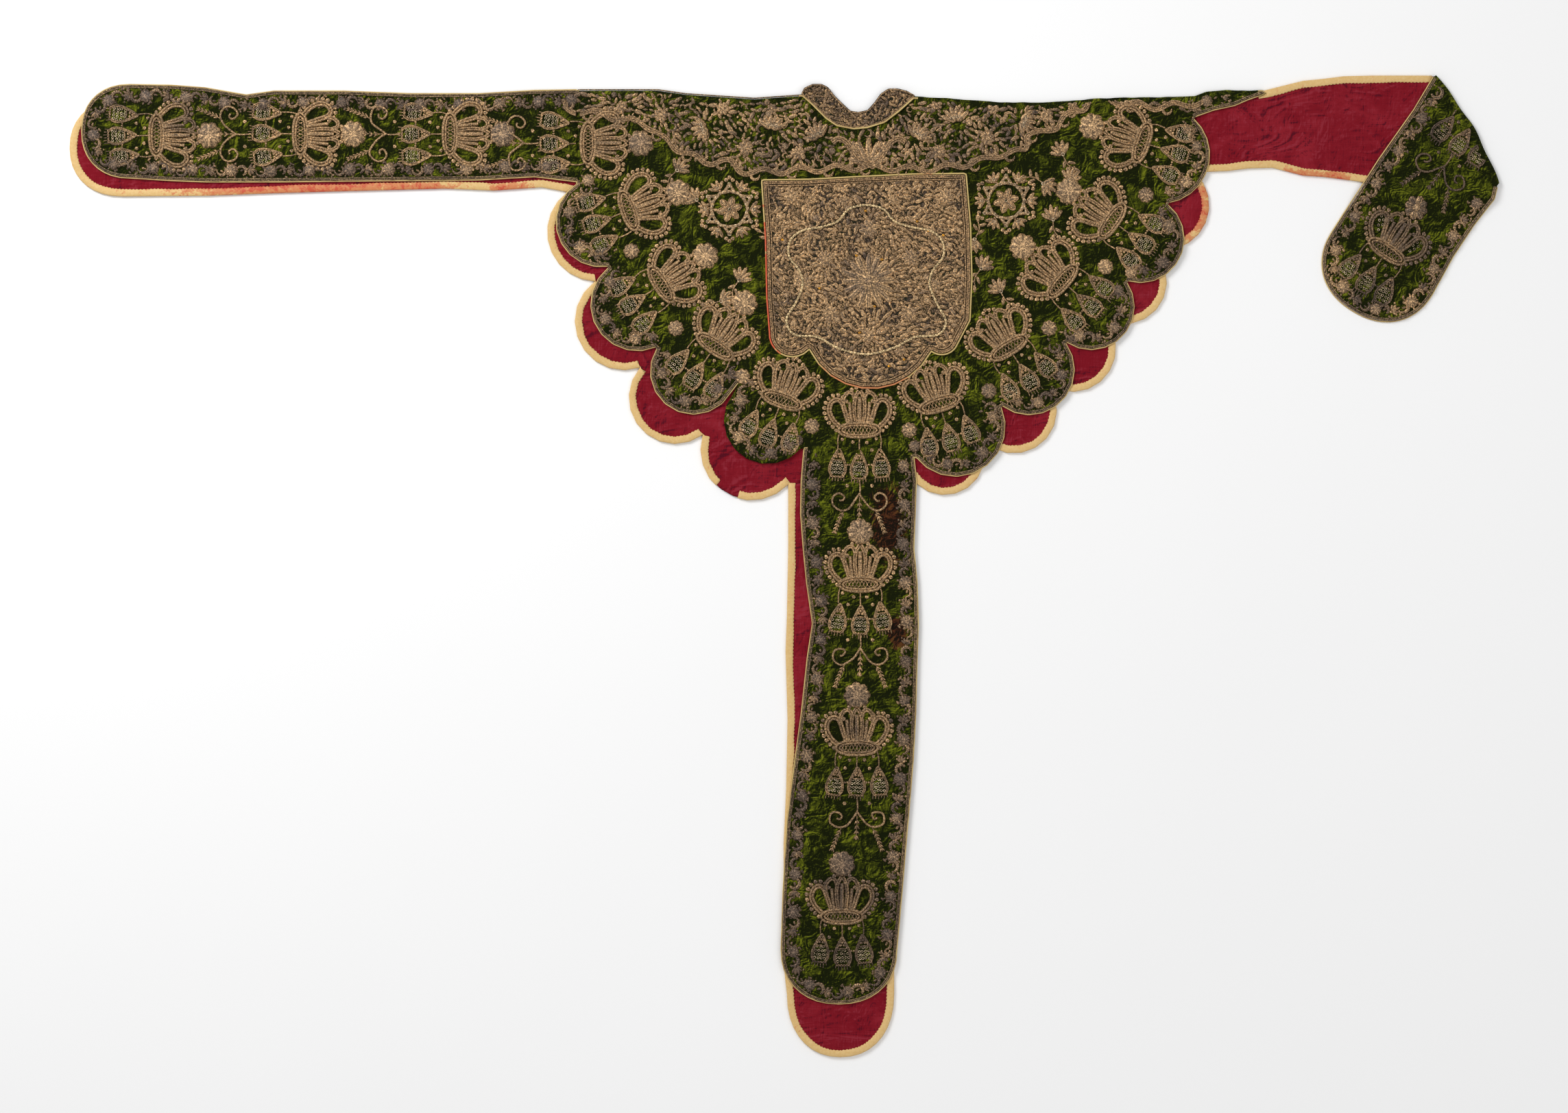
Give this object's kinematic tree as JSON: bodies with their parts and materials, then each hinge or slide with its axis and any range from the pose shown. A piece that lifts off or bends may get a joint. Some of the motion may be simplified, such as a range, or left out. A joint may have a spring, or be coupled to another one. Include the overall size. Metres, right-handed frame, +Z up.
{
  "type": "scalloped velvet collar stole",
  "caption": "Embroidered velvet ceremonial collar with long round-ended bands, lined in cotton and laid flat with one band end folded over.",
  "frame": {"origin": "on the surface that the garment lies on, under the middle of its outline", "axes": "+X from the left band's end to the folded right band, +Y towards the shoulders and neck, +Z up, away from the surface"},
  "size_m": [2.1876, 1.503, 0.0099],
  "materials": {
    "green_velvet": "crushed silk velvet, olive with bright ridges",
    "crimson_lining": "matt cotton lining, creased",
    "yellow_binding": "silk binding, turned onto the lining",
    "pale_piping": "thin silk piping",
    "gilt_embroidery": "tarnished metal thread embroidery",
    "coral_edging": "coral silk edging"
  },
  "bodies": {
    "root": {"back_cape_velvet": "green_velvet", "back_cape_lining": "crimson_lining", "back_cape_left_scallops_binding": "yellow_binding", "back_cape_right_scallops_binding": "yellow_binding", "back_cape_left_shoulder_binding": "yellow_binding", "back_left_band_velvet": "green_velvet", "back_left_band_lining": "crimson_lining", "back_left_band_binding": "yellow_binding", "back_centre_band_velvet": "green_velvet", "back_centre_band_lining": "crimson_lining", "back_centre_band_binding": "yellow_binding", "right_band_velvet": "green_velvet", "right_band_lining": "crimson_lining", "right_band_upper_binding": "yellow_binding", "right_band_lower_binding": "yellow_binding", "right_band_end_piping": "pale_piping", "front_cape_velvet": "green_velvet", "front_left_band_velvet": "green_velvet", "front_centre_band_velvet": "green_velvet", "shoulder_turn_velvet": "green_velvet", "front_cape_left_scallops_piping": "pale_piping", "front_cape_right_scallops_piping": "pale_piping", "front_cape_left_shoulder_piping": "pale_piping", "front_left_band_piping": "pale_piping", "front_centre_band_piping": "pale_piping", "neck_collar": "gilt_embroidery", "collar_seam_piping": "pale_piping", "breast_panel": "gilt_embroidery", "breast_panel_piping": "coral_edging"}
  },
  "joints": []
}
